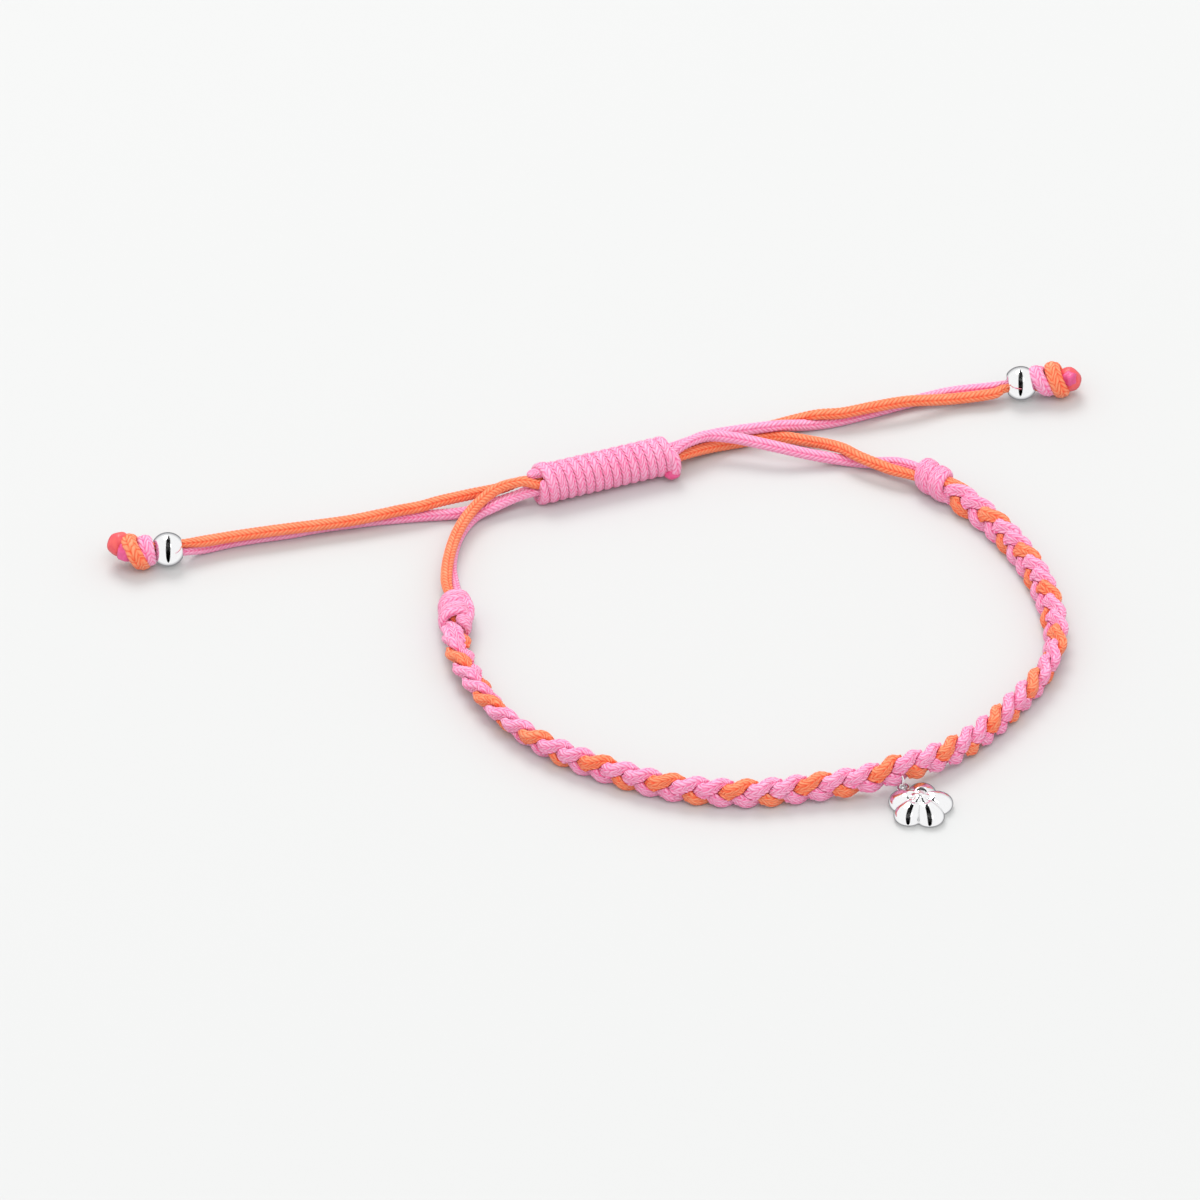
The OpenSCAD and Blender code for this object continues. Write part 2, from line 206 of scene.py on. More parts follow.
def room(centres, ways, points, gap):
    """How far each ray from a centre goes before it is nearer to one of the points than to the centre."""
    near = nearest_points(centres, points) - centres[:, None, :]
    square = (near ** 2).sum(-1)
    reach = np.einsum("nmk,nck->nmc", ways, near)
    far = np.where(reach > TINY, square[:, None, :] / (2 * np.maximum(reach, TINY)), FAR)
    return np.maximum(far.min(-1) - gap, LEAST)


def beside_limit(path, gap):
    """A rule for how far a winding reaches before the turn on either side of it. The path's fourth column
    is the angle that it has turned."""
    angles = path[:, 3]
    offsets = []
    for turn in (-360, 360):
        beside = angles + turn
        known = (beside >= angles[0]) & (beside <= angles[-1])
        q = np.column_stack([np.interp(beside, angles, path[:, k]) for k in range(3)])
        offsets.append((q - path[:, :3], known))

    def limit(ways):
        far = np.full(ways.shape[:2], FAR)
        for v, known in offsets:
            reach = np.einsum("nmk,nk->nm", ways, v)
            half = (v ** 2).sum(-1)[:, None] / (2 * np.maximum(reach, TINY))
            cut = np.where(reach > TINY, half - gap, FAR)
            far = np.where(known[:, None], np.minimum(far, cut), far)
        return far
    return limit


def soft_min(a, b, power):
    return (a ** -power + b ** -power) ** (-1.0 / power)


def swollen(free, wall, fill):
    """The free reach, let out by up to the share fill where a neighbour is near but doesn't touch."""
    x = np.clip(wall / free, 0, 9)
    fade = np.clip(1 - (x - 1 - fill) / (SWELL_FADE * fill), 0, 1)
    return free * np.maximum(np.where(x < 1 + fill, x, 1 + fill * fade), 1)


def short_of_floor(centre, ways, reach):
    down = -ways[:, :, 2]
    drop = np.maximum(centre[:, None, 2], LOW_CENTRE) / np.maximum(down, LEAST)
    return soft_min(reach, np.where(down > LEAST, drop, FAR), FLOOR_POWER)


def short_of_bend(path, ways, reach):
    """Keeps the inner side of a bend short of the bend's centre."""
    bend = np.gradient(travel(path), axis=0) / np.gradient(lengths(path))[:, None]
    inward = np.einsum("nmk,nk->nm", ways, bend)
    kept = soft_min(reach, BEND_ROOM / np.maximum(inward, LEAST), BEND_POWER)
    return np.where(inward > LEAST, kept, reach)


def rounded_ends(path, reach, round_start, round_end):
    s = lengths(path)
    for end, size in ((s, round_start), (s[-1] - s, round_end)):
        if size > 0:
            x = np.clip(end / size, 0.0, 1.0)
            reach = reach * np.sqrt(np.clip(1 - (1 - x) ** 2, END_LEAST, 1))[:, None]
    return reach


def woven(name, path, half_w, half_t, across, through, others=None, gap=CORD_GAP, columns=COLUMNS,
          relief=RELIEF, slant=SLANT, phase=0.0, power=OVAL_POWER, round_start=0.0, round_end=0.0,
          floor=True, limit=None, fill=0.0, crevice_shade=1.0):
    """Skin of a braided cord along a path, pressed flat against what lies beside it.
    others are points of the cords near it, and limit is a rule for its own next turns. fill is how far it
    swells into a space beside it, and the last argument how dark the shade painted into its crevices is."""
    n = len(path)
    centre = path[:, :3]
    half_w = np.broadcast_to(np.asarray(half_w, float), (n,))[:, None]
    half_t = np.broadcast_to(np.asarray(half_t, float), (n,))[:, None]
    theta = TAU * np.arange(columns * PER_COLUMN) / (columns * PER_COLUMN)
    c, w = np.cos(theta), np.sin(theta)
    ways = c[None, :, None] * across[:, None, :] + w[None, :, None] * through[:, None, :]
    free = ((np.abs(c) / half_w) ** power + (np.abs(w) / half_t) ** power) ** (-1 / power)
    wall = np.full(free.shape, FAR)
    if others is not None:
        wall = np.minimum(wall, room(centre, ways, others, gap))
    if limit is not None:
        wall = np.minimum(wall, limit(ways))
    reach = soft_min(swollen(free, wall, fill) if fill else free, wall, WALL_POWER)
    if floor:
        reach = short_of_floor(centre, ways, reach)
    reach = short_of_bend(path, ways, reach)
    # painted shade: darker where another cord comes near the skin, standing in for the shade in the crevices
    # between cords
    deep = crevice_shade * np.clip(DEEP_FROM - DEEP_SLOPE * wall / np.maximum(reach, LEAST), 0, 1)
    reach = rounded_ends(path, reach, round_start, round_end)
    fade = np.minimum(1.0, reach / np.maximum(half_t, LEAST))
    reach = reach - relief * fade * (1 - stitches(n, columns, phase, slant))
    rows = centre[:, None, :] + reach[:, :, None] * ways
    rows[..., 2] = np.maximum(rows[..., 2], FLOOR_GAP)
    return write_mesh(name, rows, deep, phase)


# Meshes and pieces


def write_mesh(name, rows, deep=None, phase=0.0):
    """A closed skin over rings of points. deep is painted crevice shade, 0 where a cord is free and 1 where
    others bear on it, and comes with the place of each corner in the weave."""
    n, m, _ = rows.shape
    verts = np.vstack([rows.reshape(-1, 3), rows[0].mean(0), rows[-1].mean(0)])
    i, j = np.meshgrid(np.arange(n - 1), np.arange(m), indexing="ij")
    i, j = i.ravel(), j.ravel()
    k = np.arange(m)
    a, b = i * m + j, i * m + (j + 1) % m
    sides = np.column_stack([a, b, b + m, a + m])
    low = np.column_stack([(k + 1) % m, k, np.full(m, n * m)])
    high = np.column_stack([(n - 1) * m + k, (n - 1) * m + (k + 1) % m, np.full(m, n * m + 1)])
    loops = np.concatenate([sides.ravel(), low.ravel(), high.ravel()]).astype(np.int32)
    totals = np.concatenate([np.full(len(sides), 4), np.full(2 * m, 3)]).astype(np.int32)
    starts = np.concatenate([[0], np.cumsum(totals)[:-1]]).astype(np.int32)
    mesh = bpy.data.meshes.new(name)
    mesh.vertices.add(len(verts))
    mesh.vertices.foreach_set("co", (verts * MM).astype(np.float32).ravel())
    mesh.loops.add(len(loops))
    mesh.loops.foreach_set("vertex_index", loops)
    mesh.polygons.add(len(totals))
    mesh.polygons.foreach_set("loop_start", starts)
    mesh.polygons.foreach_set("loop_total", totals)
    mesh.polygons.foreach_set("use_smooth", np.ones(len(totals), bool))
    if deep is not None:
        # the painted crevice shade, with a little of it on the end caps
        value = np.concatenate([deep.ravel(), [CAP_DEEP, CAP_DEEP]]).astype(np.float32)
        columns = np.stack([j, j + 1, j + 1, j], -1).ravel() / PER_COLUMN
        pitches = np.stack([i, i, i + 1, i + 1], -1).ravel() / PER_STITCH + phase
        place = np.zeros((len(loops), 3), np.float32)
        place[:len(columns), 0] = columns
        place[:len(columns), 1] = pitches
        place[len(columns):, 1] = 0.5
        mesh.attributes.new("deep", "FLOAT", "POINT").data.foreach_set("value", value)
        mesh.attributes.new("stitch", "FLOAT_VECTOR", "CORNER").data.foreach_set("vector", place.ravel())
    mesh.update()
    mesh.validate()
    return mesh


def closed_surface(name, rows):
    """A smooth surface over rings of points, closed round the rings and from the last ring to the first."""
    n, m, _ = rows.shape
    faces = []
    for i in range(n):
        for j in range(m):
            i2, j2 = (i + 1) % n, (j + 1) % m
            faces.append((i * m + j, i * m + j2, i2 * m + j2, i2 * m + j))
    mesh = bpy.data.meshes.new(name)
    mesh.from_pydata((rows.reshape(-1, 3) * MM).tolist(), [], faces)
    mesh.polygons.foreach_set("use_smooth", np.ones(len(faces), bool))
    mesh.update()
    return mesh


def placed(name, mesh):
    obj = bpy.data.objects.new(name, mesh)
    bpy.context.scene.collection.objects.link(obj)
    return obj


def joined(name, meshes):
    """One mesh of several closed ones."""
    objects = [placed(f"{name}_{k}", mesh) for k, mesh in enumerate(meshes)]
    with bpy.context.temp_override(active_object=objects[0], selected_editable_objects=objects):
        bpy.ops.object.join()
    mesh = objects[0].data
    bpy.data.objects.remove(objects[0])
    mesh.name = name
    return mesh


def add(name, mesh, finish, replaces_node=True):
    """Puts a mesh in the scene as a piece that rides with the bracelet, most often for the node of its name.
    A finish is a material and the name of a slot for it, which is not used."""
    material, slot = finish
    obj = placed(name, mesh)
    mesh.materials.append(material)
    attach(obj, "root")
    if replaces_node:
        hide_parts(name)


# Routes and places, as in the CAD source: x, y, z and, where a cord isn't round and free, its radius

SPINE_ROUTE = [
    [14.5, 21.6, 1.5], [17.1, 18.9, 1.45], [20.1, 15.7, 1.35], [22.9, 11.4, 1.35],
    [25.1, 6.3, 1.35], [26.3, 1.3, 1.35], [26.5, -3.1, 1.35], [25.4, -7.1, 1.35],
    [23.3, -10.8, 1.35], [20.4, -15.0, 1.35], [16.4, -19.1, 1.35], [11.4, -22.1, 1.35],
    [5.5, -23.2, 1.35], [-0.6, -24.0, 1.35], [-6.8, -23.2, 1.35], [-12.7, -20.7, 1.35],
    [-17.8, -17.4, 1.35], [-21.5, -13.4, 1.35], [-24.0, -8.8, 1.35], [-25.5, -4.5, 1.35],
    [-25.9, -0.5, 1.4], [-26.1, 3.6, 1.5],
]
SLIDE_LEFT, SLIDE_RIGHT = np.array([-18.8, 19.1, 1.75]), np.array([-7.3, 23.5, 1.75])
LEFT_BEAD, LEFT_HEADING = np.array([-51.1, 10.3, 1.5]), 190.0
RIGHT_BEAD, RIGHT_HEADING = np.array([23.8, 34.1, 1.5]), 6.0
RIGHT_KNOT, RIGHT_KNOT_HEADING = np.array([16.1, 20.25, 1.5]), -44.0
LEFT_KNOT, LEFT_KNOT_HEADING = np.array([-25.95, 1.4, 1.5]), 91.0

# for each cord of the loop: its place round the core of the sliding knot, the side it comes from
# (0 is left, 1 is right) and its route
LOOPS = {
    "loop_cord_orange_left": (135, 0, [
        [-26.35, 2.2, 1.55, 0.38], [-26.4, 3.6, 1.6, 0.44], [-26.7, 5.7, 1.55], [-26.5, 9.1, 1.52],
        [-25.7, 12.9, 1.5], [-24.3, 16.0, 1.66], [-22.3, 18.1, 2.1], [-20.2, 18.55, 2.55, 0.45]]),
    "loop_cord_pink_left": (225, 0, [
        [-25.55, 2.2, 1.45, 0.38], [-25.6, 3.6, 1.2, 0.44], [-25.95, 5.7, 0.75], [-26.3, 9.2, 0.52],
        [-25.8, 12.9, 0.52], [-24.45, 15.9, 0.56], [-22.5, 17.0, 1.05], [-20.3, 18.1, 1.35, 0.46]]),
    "loop_cord_orange_right": (45, 1, [
        [15.18, 20.33, 1.42, 0.38], [14.0, 21.1, 1.4, 0.46], [12.1, 21.85, 1.5], [9.6, 23.3, 1.62],
        [7.9, 24.8, 1.5], [5.4, 26.6, 0.8], [2.1, 27.65, 0.52], [-1.2, 26.8, 0.52],
        [-3.8, 25.55, 0.9], [-5.65, 24.2, 1.25, 0.45]]),
    "loop_cord_pink_right": (315, 1, [
        [15.7, 20.93, 1.58, 0.38], [14.65, 21.8, 1.6, 0.46], [12.9, 22.9, 1.3], [10.8, 23.8, 0.6],
        [8.7, 24.2, 0.52], [5.4, 24.3, 1.1], [2.1, 24.6, 1.8], [-1.3, 25.4, 2.1],
        [-3.8, 25.6, 2.2], [-5.65, 24.3, 2.4, 0.45]]),
}
# the same for each free cord, with its place in the bead's bore, back and up, before the route
TAILS = {
    "tail_cord_orange_left": (45, 0, (0.1, 0.38), LEFT_BEAD, LEFT_HEADING, [
        [-20.3, 19.85, 1.58, 0.45], [-22.0, 19.2, 1.35], [-24.6, 18.4, 1.3], [-27.3, 17.2, 1.48],
        [-29.0, 16.4, 1.5], [-30.8, 15.85, 1.5], [-32.5, 15.35, 1.42], [-35.1, 14.6, 1.35],
        [-37.8, 14.0, 1.33], [-40.4, 13.35, 1.43], [-43.0, 12.75, 1.46], [-45.6, 12.1, 1.48],
        [-48.0, 11.3, 1.6]]),
    "tail_cord_pink_left": (315, 0, (-0.05, -0.38), LEFT_BEAD, LEFT_HEADING, [
        [-20.4, 18.95, 0.86, 0.45], [-22.4, 18.2, 0.52], [-25.2, 16.8, 0.52], [-29.0, 16.3, 0.52],
        [-32.5, 15.8, 0.52], [-35.1, 15.3, 0.52], [-37.8, 14.7, 0.52], [-40.4, 13.9, 0.52],
        [-43.0, 13.3, 0.52], [-45.6, 12.6, 0.52], [-47.9, 11.7, 0.55]]),
    "tail_cord_orange_right": (135, 1, (-0.38, -0.22), RIGHT_BEAD, RIGHT_HEADING, [
        [-5.75, 25.6, 0.55, 0.45], [-3.8, 26.8, 0.52], [-1.2, 27.9, 0.52], [2.1, 29.3, 0.52],
        [4.2, 29.9, 0.75], [6.0, 29.8, 1.3], [8.1, 29.8, 1.5], [10.8, 30.55, 1.6], [13.8, 31.35, 1.6],
        [17.6, 32.45, 1.0], [21.2, 33.02, 1.12, 0.5]]),
    "tail_cord_pink_right": (225, 1, (0.28, -0.3), RIGHT_BEAD, RIGHT_HEADING, [
        [-5.75, 25.6, 1.45, 0.45], [-3.8, 26.5, 1.5], [-1.2, 27.25, 1.5], [2.1, 28.1, 1.35],
        [4.2, 29.0, 0.75], [6.0, 29.5, 0.52], [8.1, 30.1, 0.52], [11.2, 31.4, 0.52], [14.4, 32.8, 0.52],
        [17.6, 33.6, 0.85], [21.2, 33.87, 1.2, 0.48]]),
}
CORD_R, THREADED_R = 0.52, 0.4
CORE_R, CORE_CORD_R, CORE_TWIST = 0.5, 0.45, 180.0
LOOP_REACH, LOOP_POINTS, TAIL_REACH = 0.86, 7, 0.08
BEAD_R = 1.5

SLIDE_AXIS = unit(SLIDE_RIGHT - SLIDE_LEFT)
SLIDE_BACK = np.cross(UP, SLIDE_AXIS)
SLIDE_L = np.linalg.norm(SLIDE_RIGHT - SLIDE_LEFT)


def coil_out(angle):
    """Direction away from the sliding knot's axis, at an angle from its back over its top."""
    a = np.radians(angle)
    return np.cos(a)[..., None] * SLIDE_BACK + np.sin(a)[..., None] * UP


def slide_point(along, radius, angle):
    return SLIDE_LEFT + SLIDE_AXIS * along + radius * coil_out(angle)


def core_point(share, angle):
    """A cord's place inside the sliding knot, where the four twist round each other."""
    return [*slide_point(SLIDE_L * share, CORE_R, angle + CORE_TWIST * share), CORE_CORD_R]


def sized(route):
    return [[*row, CORD_R][:4] for row in route]


def loop_path(name):
    angle, side, route = LOOPS[name]
    inside = [core_point(abs(side - x), angle) for x in np.linspace(0, LOOP_REACH, LOOP_POINTS)]
    return even(curve(sized(route) + inside), RING_STEP)


def tail_path(name):
    angle, side, (back, up), bead, bead_heading, route = TAILS[name]
    inside = [core_point(abs(side - x), angle) for x in (TAIL_REACH, 0)]
    threaded = [[*(bead + x * heading(bead_heading) + np.array([0, back, up])), THREADED_R]
                for x in (-BEAD_R, 0, BEAD_R)]
    return even(curve(inside + sized(route) + threaded), RING_STEP)


paths = {name: loop_path(name) for name in LOOPS}
paths.update({name: tail_path(name) for name in TAILS})


# The plait's strands: distances s run along the spine

# the distance and the turns that the weave has made there, read from the crossings
TURN_TABLE = [[0, -0.5], [3.6, 0], [10.6, 1], [22, 3], [35, 5], [47, 7], [60, 9], [73, 11], [86, 13],
              [99.5, 15], [110, 16.6]]
# the distance and how far the band leans back from lying flat
LEAN_TABLE = [[0, 62], [10, 70], [17, 68], [24, 62], [29, 66], [34, 84], [42, 93], [52, 98], [62, 93],
              [72, 87], [80, 82], [86, 68], [92, 52], [98, 38], [110, 26]]
SWING, WEAVE, FIRST_ANGLE = 0.66, 0.42, math.radians(110)
END_SWING, END_WEAVE = 0.6, 0.8
PLAIT_START, PLAIT_END, NARROWING, HELD, OVERRUN = 2.8, 104.9, 2.0, 0.7, 0.6
RING_S, RING_RISE, RISE_REACH, RING_PART, PART_REACH = 52.06, 0.65, 5, 0.2, 1.1
SPINE_STEPS, STRAND_SAMPLES, LOOK_AROUND = 60, 6000, 0.4

# for each strand, how far it leads in the weave, in turns, and whether it stays put where the ring parts
# the others
STRANDS = {
    "braid_strand_pink_1": (1 / 3, False),
    "braid_strand_pink_2": (2 / 3, True),
    "braid_strand_orange": (0.0, False),
}

spine = curve(SPINE_ROUTE, SPINE_STEPS)
spine_s = lengths(spine)


def near_ring(s, reach):
    return np.exp(-((s - RING_S) / reach) ** 2)


def spine_at(s):
    p = np.column_stack([np.interp(s, spine_s, spine[:, k]) for k in range(3)])
    p[:, 2] += RING_RISE * near_ring(s, RISE_REACH)
    return p


def spine_way(s):
    return unit(spine_at(s + LOOK_AROUND) - spine_at(s - LOOK_AROUND))


def band_ways(s):
    """Directions across the band and through it."""
    out = unit(np.cross(UP, spine_way(s)))
    lean = np.radians(np.interp(s, *np.transpose(LEAN_TABLE)))[:, None]
    return np.cos(lean) * out + np.sin(lean) * UP, -np.sin(lean) * out + np.cos(lean) * UP


def fullness(s):
    """0 where the knots hold the plait, and 1 where it has its full width."""
    t = np.clip(np.minimum(s - PLAIT_START - HELD, PLAIT_END - HELD - s) / NARROWING, 0, 1)
    return t * t * (3 - 2 * t)


def strand_path(lead, held):
    s = np.linspace(PLAIT_START - OVERRUN, PLAIT_END + OVERRUN, STRAND_SAMPLES)
    a = TAU * (np.interp(s, *np.transpose(TURN_TABLE)) + lead) + FIRST_ANGLE
    wide, deep = band_ways(s)
    swing = SWING * (END_SWING + (1 - END_SWING) * fullness(s)) * np.sin(a)
    weave = WEAVE * (END_WEAVE + (1 - END_WEAVE) * fullness(s)) * np.sin(2 * a)
    if not held:
        swing = swing + RING_PART * near_ring(s, PART_REACH)
    line = spine_at(s) + swing[:, None] * wide + weave[:, None] * deep
    return even(np.column_stack([line, s]), RING_STEP)


strand_paths = {name: strand_path(*strand) for name, strand in STRANDS.items()}


# Materials

def nodes_of(name):
    material = bpy.data.materials.new(name)
    material.use_nodes = True
    tree = material.node_tree
    return material, tree, tree.nodes["Principled BSDF"]


def set_up(tree, node, values, feeds=()):
    """Gives a node's inputs, by name, the constants in values and the sockets in feeds."""
    for name, value in values.items():
        node.inputs[name].default_value = value
    for name, socket in dict(feeds).items():
        tree.links.new(socket, node.inputs[name])
    return node


def new_node(tree, kind, values=(), feeds=()):
    return set_up(tree, tree.nodes.new("ShaderNode" + kind), dict(values), feeds)


def attribute(tree, name):
    node = tree.nodes.new("ShaderNodeAttribute")
    node.attribute_name = name
    return node


def own_place(tree):
    return {"Vector": tree.nodes.new("ShaderNodeTexCoord").outputs["Object"]}


def ramp(tree, stops, level):
    """Colour between stops of place and colour."""
    node = new_node(tree, "ValToRGB", feeds={"Fac": level})
    elements = node.color_ramp.elements
    while len(elements) < len(stops):
        elements.new(0.5)
    for element, (place, colour) in zip(elements, stops):
        element.position = place
        element.color = (*colour, 1.0)
    return node.outputs["Color"]


def math_node(tree, operation, *values):
    """A Math node fed by sockets or numbers."""
    node = tree.nodes.new("ShaderNodeMath")
    node.operation = operation
    for k, value in enumerate(values):
        if isinstance(value, (int, float)):
            node.inputs[k].default_value = value
        else:
            tree.links.new(value, node.inputs[k])
    return node.outputs[0]


def bump(tree, height, strength, distance):
    """Fine relief, its distance in metres."""
    node = new_node(tree, "Bump", {"Strength": strength, "Distance": distance}, {"Height": height})
    return node.outputs["Normal"]


# the levels at which a cord has its four tones
SHADE_STOPS = (0.0, 0.3, 0.66, 1.0)
PAINTED_SIDE_POWER = 3.5
STRAY_SCALE, CLOUD_SCALE = 1500.0, 420.0
# what each stitch's own tone, the filaments and the slow changes along the cord add to a level
OWN_SHARE, FILAMENT_SHARE, CLOUD_SHARE = 0.22, 0.36, 0.5
# the middle of the levels, the tone it gets, and how much darker the painted crevice shade makes a pressed
# place
MEAN_LEVEL, MEAN_SHADE, PAINTED_CREVICE_SHADE = 1.2, 0.6, 0.4
FILAMENT_PLACE = (1.6, 7.7, 9.0, 3.7)
FILAMENT_RELIEF = 0.35
CORD_SHINE = {"Sheen Weight": 0.07, "Sheen Roughness": 0.5, "Specular IOR Level": 0.25}


def stitch_place(tree, steep, uneven):
    """Where a point lies in the weave: its column and row, and its place from -0.5 to 0.5 across the column
    and the stitch, with toward the place across measured towards the middle of its row of Vs."""
    calc = partial(math_node, tree)
    parts = new_node(tree, "SeparateXYZ", feeds={"Vector": attribute(tree, "stitch").outputs["Vector"]})
    u, v = parts.outputs["X"], parts.outputs["Y"]
    column = calc("FLOOR", u)
    du = calc("SUBTRACT", calc("SUBTRACT", u, column), 0.5)
    way = calc("MULTIPLY_ADD", calc("FLOORED_MODULO", column, 2.0), -2.0, 1.0)
    toward = calc("MULTIPLY", way, du)
    stray = new_node(tree, "TexNoise", {"Scale": STRAY_SCALE, "Detail": 1.0}, own_place(tree))
    t = calc("MULTIPLY_ADD", toward, steep, v)
    t = calc("MULTIPLY_ADD", calc("SUBTRACT", stray.outputs["Fac"], 0.5), 2.0 * uneven, t)
    row = calc("ROUND", t)
    return column, row, du, calc("SUBTRACT", t, row), toward


def stitch_crest(tree, du, dv, toward, line):
    """Height of the stitch: 1 on its crest and 0 in the grooves round it, less the groove down the middle of
    a row of Vs."""
    calc = partial(math_node, tree)
    across = calc("POWER", calc("ABSOLUTE", calc("MULTIPLY", dv, 2.0)), STITCH_POWER)
    along = calc("POWER", calc("ABSOLUTE", calc("MULTIPLY", du, 2.0)), PAINTED_SIDE_POWER)
    crest = calc("MULTIPLY", calc("SUBTRACT", 1.0, across), calc("MULTIPLY_ADD", along, -SIDE_DIP, 1.0))
    middle = calc("MAXIMUM", calc("MULTIPLY_ADD", toward, MIDDLE_SLOPE, -1.0), 0.0)
    return calc("MULTIPLY_ADD", middle, -line, crest)


def filaments(tree, column, row, du, dv):
    """Fine streaks along each stitch, stretched along it and different in each."""
    calc = partial(math_node, tree)
    along, column_step, across, row_step = FILAMENT_PLACE
    place = new_node(tree, "CombineXYZ", feeds={
        "X": calc("MULTIPLY_ADD", du, along, calc("MULTIPLY", column, column_step)),
        "Y": calc("MULTIPLY", dv, across),
        "Z": calc("MULTIPLY", row, row_step)})
    noise = new_node(tree, "TexNoise", {"Scale": 1.0, "Detail": 2.0}, {"Vector": place.outputs[0]})
    return noise.outputs["Fac"]


def cord_material(name, tones, steep=SLANT, uneven=0.25, line=0.5, contrast=0.5):
    """Braided nylon: stitches in slanting columns, each a little different, with fine filaments along them.
    tones are four colours, from painted shade in the grooves and crevices up to a painted highlight on the
    crests."""
    material, tree, shader = nodes_of(name)
    calc = partial(math_node, tree)
    column, row, du, dv, toward = stitch_place(tree, steep, uneven)
    crest = stitch_crest(tree, du, dv, toward, line)
    streaks = filaments(tree, column, row, du, dv)
    own = new_node(tree, "CombineXYZ", feeds={"X": column, "Y": row})
    white = tree.nodes.new("ShaderNodeTexWhiteNoise")
    white.noise_dimensions = "2D"
    tree.links.new(own.outputs[0], white.inputs["Vector"])
    cloud = new_node(tree, "TexNoise", {"Scale": CLOUD_SCALE, "Detail": 3.0}, own_place(tree))
    # painted shade and highlight: the crest, with its middle groove, darkens the grooves and lightens the
    # crests; the white noise, filaments and cloud vary the tone at random as the nylon does
    level = calc("MULTIPLY_ADD", white.outputs["Value"], OWN_SHARE, crest)
    level = calc("MULTIPLY_ADD", streaks, FILAMENT_SHARE, level)
    level = calc("MULTIPLY_ADD", cloud.outputs["Fac"], CLOUD_SHARE, level)
    level = calc("MULTIPLY_ADD", level, contrast, MEAN_SHADE - MEAN_LEVEL * contrast)
    # painted shade in the crevices where other cords come near, from the deep attribute
    level = calc("MULTIPLY_ADD", attribute(tree, "deep").outputs["Fac"], -PAINTED_CREVICE_SHADE, level)
    rough = new_node(tree, "MapRange", {"To Min": 0.65, "To Max": 0.44}, {"Value": crest})
    relief = calc("MULTIPLY_ADD", streaks, FILAMENT_RELIEF, crest)
    set_up(tree, shader, CORD_SHINE, {
        "Base Color": ramp(tree, list(zip(SHADE_STOPS, tones)), level),
        "Roughness": rough.outputs["Result"],
        "Normal": bump(tree, relief, strength=0.9, distance=0.00006)})
    return material


def melted_material(name, base, streak):
    """Cord melted to a smooth skin with faint flow marks."""
    material, tree, shader = nodes_of(name)
    noise = new_node(tree, "TexNoise", {"Scale": 900.0, "Detail": 4.0, "Distortion": 1.2}, own_place(tree))
    set_up(tree, shader, {"Roughness": 0.38, "Coat Weight": 0.2, "Coat Roughness": 0.3}, {
        "Base Color": ramp(tree, [(0.35, streak), (0.62, base)], noise.outputs["Fac"]),
        "Normal": bump(tree, noise.outputs["Fac"], strength=0.5, distance=0.00006)})
    return material


def silver_material(name):
    """Polished silver with hairline polishing marks."""
    material, tree, shader = nodes_of(name)
    stretch = new_node(tree, "Mapping", {"Scale": (900.0, 900.0, 5200.0), "Rotation": (0.5, 0.3, 0.2)},
                       own_place(tree))
    noise = new_node(tree, "TexNoise", {"Scale": 1.0, "Detail": 3.0}, {"Vector": stretch.outputs[0]})
    rough = new_node(tree, "MapRange", {"From Min": 0.3, "From Max": 0.7, "To Min": 0.05, "To Max": 0.13},
                     {"Value": noise.outputs["Fac"]})
    set_up(tree, shader, {"Base Color": (0.89, 0.89, 0.895, 1.0), "Metallic": 1.0}, {
        "Roughness": rough.outputs["Result"],
        "Normal": bump(tree, noise.outputs["Fac"], strength=0.06, distance=0.00001)})
    return material


# four tones of each nylon, from painted shade in the grooves up to a painted highlight on the crests
PINK_TONES = (0.91, 0.085, 0.27), (0.91, 0.21, 0.41), (0.90, 0.36, 0.55), (0.88, 0.47, 0.64)
ORANGE_TONES = (0.92, 0.055, 0.022), (0.92, 0.135, 0.05), (0.91, 0.25, 0.115), (0.90, 0.36, 0.20)
TIGHT = {"steep": TIGHT_SLANT, "uneven": 0.9, "line": 0.3}

PINK = cord_material("pink_nylon", PINK_TONES), "pink_cord"
ORANGE = cord_material("orange_nylon", ORANGE_TONES), "orange_cord"
PINK_TIGHT = cord_material("pink_nylon_tight", PINK_TONES, contrast=0.66, **TIGHT), "pink_cord"
ORANGE_TIGHT = cord_material("orange_nylon_tight", ORANGE_TONES, contrast=0.62, **TIGHT), "orange_cord"
CORAL = melted_material("melted_coral", (0.80, 0.10, 0.09), (0.71, 0.055, 0.08)), "coral_knot"
MAGENTA = melted_material("melted_magenta", (0.75, 0.09, 0.27), (0.62, 0.05, 0.18)), "pink_cord"
SILVER = silver_material("polished_silver"), "silver"


# The eight plain cords. Each starts its stitches a little later than the one before

TAIL_PHASE, LOOP_PHASE, STRAND_PHASE = 0.37, 0.21, 0.4
PRESS_EVERY = 2
# turns a row of Vs on the left loop cords up and outwards, where it shows
LEFT_LOOP_START = np.array([-0.64, 0.0, 0.77])


def others_than(name):
    """Points on every cord but the named one, for pressing against."""
    return np.vstack([p[::PRESS_EVERY, :3] for n, p in {**paths, **strand_paths}.items() if n != name])


def plain_cord(name, phase, start):
    across, through = carried(paths[name], start)
    r = paths[name][:, 3]
    mesh = woven(name, paths[name], r, r, across, through, others_than(name), phase=phase, power=2.0)
    add(name, mesh, ORANGE if "orange" in name else PINK)


for k, name in enumerate(TAILS):
    plain_cord(name, TAIL_PHASE * k, UP)
for k, name in enumerate(LOOPS):
    plain_cord(name, LOOP_PHASE * k, LEFT_LOOP_START if "left" in name else UP)


# Plait strands

STRAND_W, STRAND_T = 0.66, 0.45
END_W, END_T = 0.72, 0.8
STRAND_FILL, STRAND_GAP = 0.27, 0.002
# how dark the painted crevice shade is on the plait's strands and knots
TIGHT_CREVICE_SHADE = 0.8
